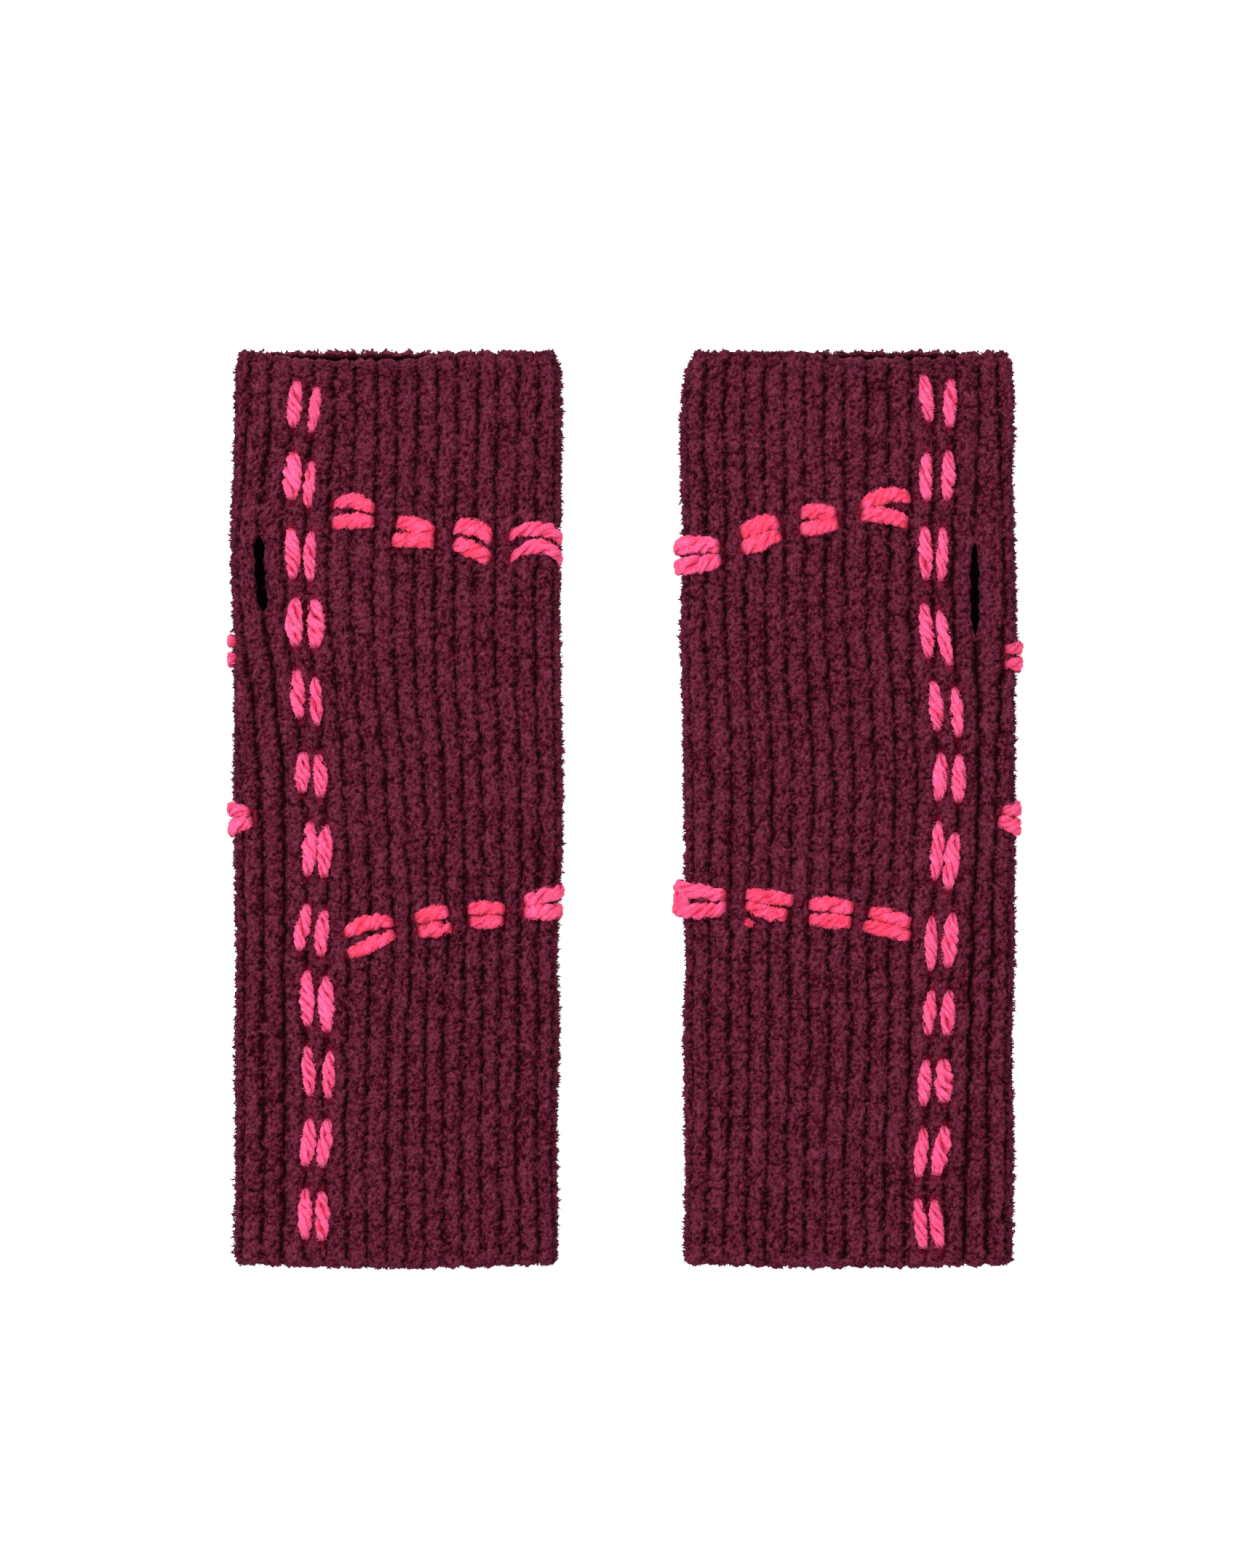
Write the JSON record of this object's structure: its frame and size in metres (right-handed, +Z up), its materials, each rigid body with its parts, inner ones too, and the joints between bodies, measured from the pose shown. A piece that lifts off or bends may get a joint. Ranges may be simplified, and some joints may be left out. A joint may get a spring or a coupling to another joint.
{
  "type": "pair of knitted arm warmers",
  "caption": "Ribbed knit arm warmers lying flat side by side, open at both ends, each with a thumb slit and rows of thick double running stitches in yarn.",
  "frame": {"origin": "centre of the box of the whole pair, on the surface that both warmers lie on", "axes": "+Y runs along the warmers from the wrist ends to the finger ends, +X across the pair towards the warmer that the picture shows on the right, +Z up"},
  "size_m": [0.242, 0.2794, 0.0108],
  "materials": {
    "knit_cloth": "soft matt chenille knit in dark burgundy",
    "stitch_yarn": "soft plied yarn in bright pink"
  },
  "bodies": {
    "root": {"left_knit_tube": "knit_cloth", "left_long_stitch_01_far_side": "stitch_yarn", "left_long_stitch_01_thumb_side": "stitch_yarn", "left_long_stitch_02": "stitch_yarn", "left_long_stitch_03": "stitch_yarn", "left_long_stitch_04": "stitch_yarn", "left_long_stitch_05": "stitch_yarn", "left_long_stitch_06": "stitch_yarn", "left_long_stitch_07": "stitch_yarn", "left_long_stitch_08": "stitch_yarn", "left_long_stitch_09_far_side": "stitch_yarn", "left_long_stitch_09_thumb_side": "stitch_yarn", "left_long_stitch_10_far_side": "stitch_yarn", "left_long_stitch_10_thumb_side": "stitch_yarn", "left_long_stitch_11": "stitch_yarn", "left_long_stitch_12": "stitch_yarn", "left_upper_stitch_1": "stitch_yarn", "left_upper_stitch_2": "stitch_yarn", "left_upper_stitch_3": "stitch_yarn", "left_upper_stitch_4": "stitch_yarn", "left_lower_stitch_1": "stitch_yarn", "left_lower_stitch_2": "stitch_yarn", "left_lower_stitch_3": "stitch_yarn", "left_lower_stitch_4": "stitch_yarn", "left_upper_edge_stitch": "stitch_yarn", "left_lower_edge_stitch": "stitch_yarn", "right_knit_tube": "knit_cloth", "right_long_stitch_01_far_side": "stitch_yarn", "right_long_stitch_01_thumb_side": "stitch_yarn", "right_long_stitch_02_far_side": "stitch_yarn", "right_long_stitch_02_thumb_side": "stitch_yarn", "right_long_stitch_03": "stitch_yarn", "right_long_stitch_04": "stitch_yarn", "right_long_stitch_05_far_side": "stitch_yarn", "right_long_stitch_05_thumb_side": "stitch_yarn", "right_long_stitch_06_far_side": "stitch_yarn", "right_long_stitch_06_thumb_side": "stitch_yarn", "right_long_stitch_07": "stitch_yarn", "right_long_stitch_08": "stitch_yarn", "right_long_stitch_09_far_side": "stitch_yarn", "right_long_stitch_09_thumb_side": "stitch_yarn", "right_long_stitch_10": "stitch_yarn", "right_long_stitch_11": "stitch_yarn", "right_long_stitch_12": "stitch_yarn", "right_upper_stitch_1": "stitch_yarn", "right_upper_stitch_2": "stitch_yarn", "right_upper_stitch_3": "stitch_yarn", "right_upper_stitch_4": "stitch_yarn", "right_lower_stitch_1": "stitch_yarn", "right_lower_stitch_2": "stitch_yarn", "right_lower_stitch_3": "stitch_yarn", "right_lower_stitch_4": "stitch_yarn", "right_upper_edge_stitch": "stitch_yarn", "right_lower_edge_stitch": "stitch_yarn"}
  },
  "joints": []
}
